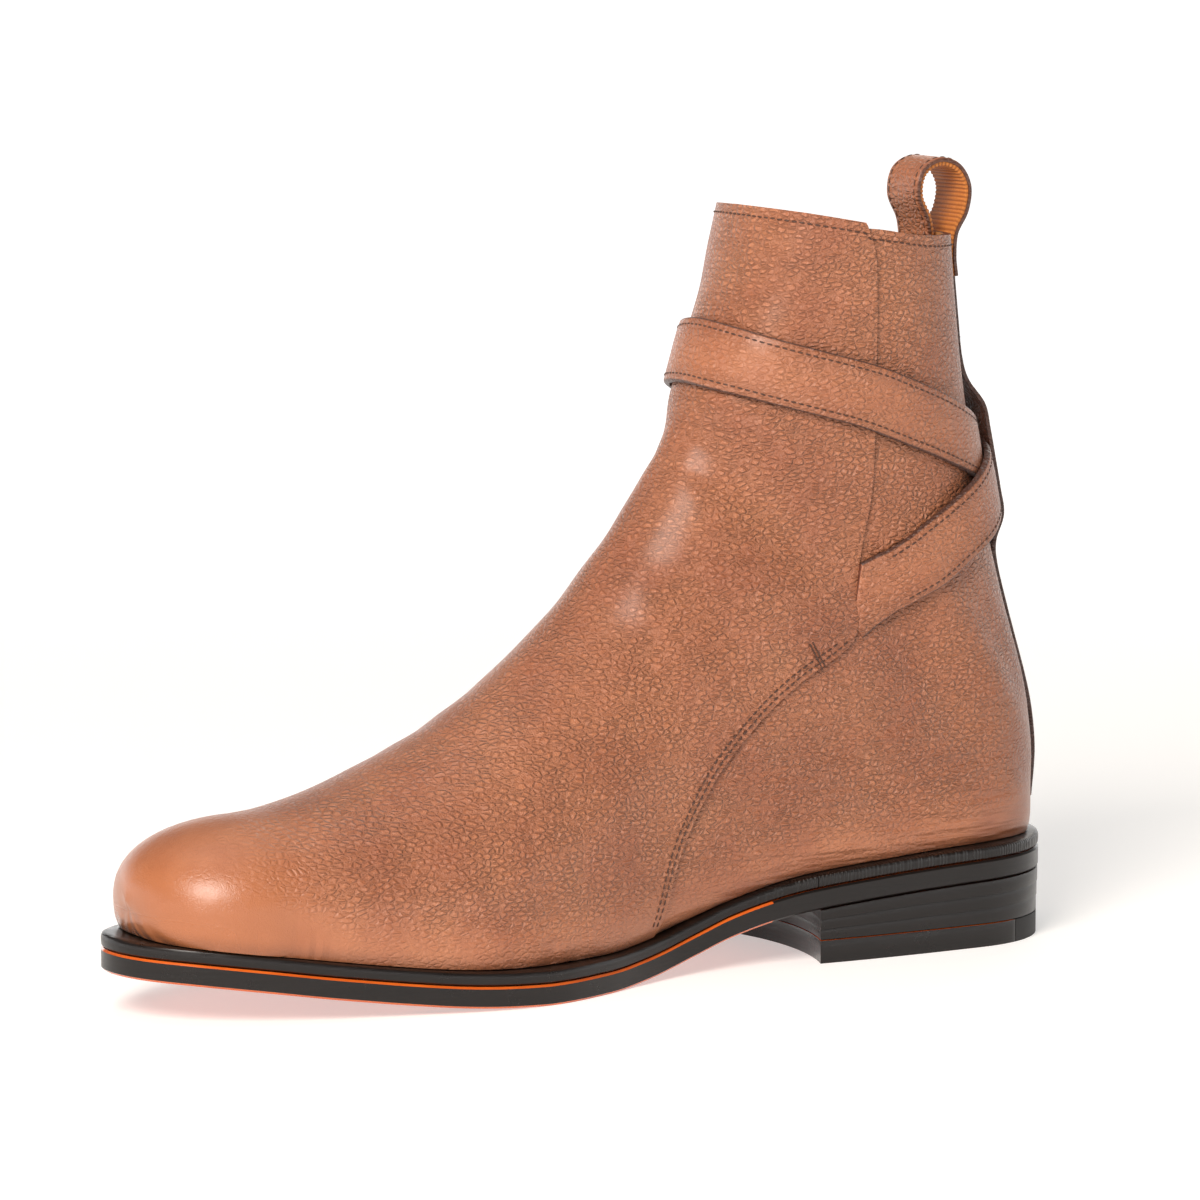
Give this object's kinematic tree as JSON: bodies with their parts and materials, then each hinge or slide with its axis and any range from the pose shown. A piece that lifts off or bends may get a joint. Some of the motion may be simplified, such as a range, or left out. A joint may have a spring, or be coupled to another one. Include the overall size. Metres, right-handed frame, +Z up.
{
  "type": "jodhpur boot",
  "caption": "Ankle boot with a wrapped strap and side buckle, stacked heel, leather sole and rear pull loop.",
  "frame": {"origin": "middle of the heel's wearing face, on the floor", "axes": "+Z up, -X towards the toe, -Y towards the medial side of this right boot"},
  "size_m": [0.3051, 0.1004, 0.2328],
  "materials": {
    "grained_calf": "pebble-grained calf, soft sheen",
    "insole_leather": "smooth lining leather",
    "black_edge": "waxed black edge dressing",
    "sole_leather": "glossy burnished sole leather",
    "heel_rubber": "matt black rubber",
    "loop_webbing": "ribbed webbing faced with leather",
    "antique_brass": "aged brass, satin"
  },
  "bodies": {
    "root": {"upper": "grained_calf", "insole": "insole_leather", "welt": "black_edge", "heel_rand": "black_edge", "outsole": "sole_leather", "heel_stack": "black_edge", "heel_top_piece": "sole_leather", "heel_rubber": "heel_rubber", "strap_long": "grained_calf", "strap_short": "grained_calf", "back_strip": "grained_calf", "pull_loop": "loop_webbing", "buckle_frame": "antique_brass"}
  },
  "joints": []
}
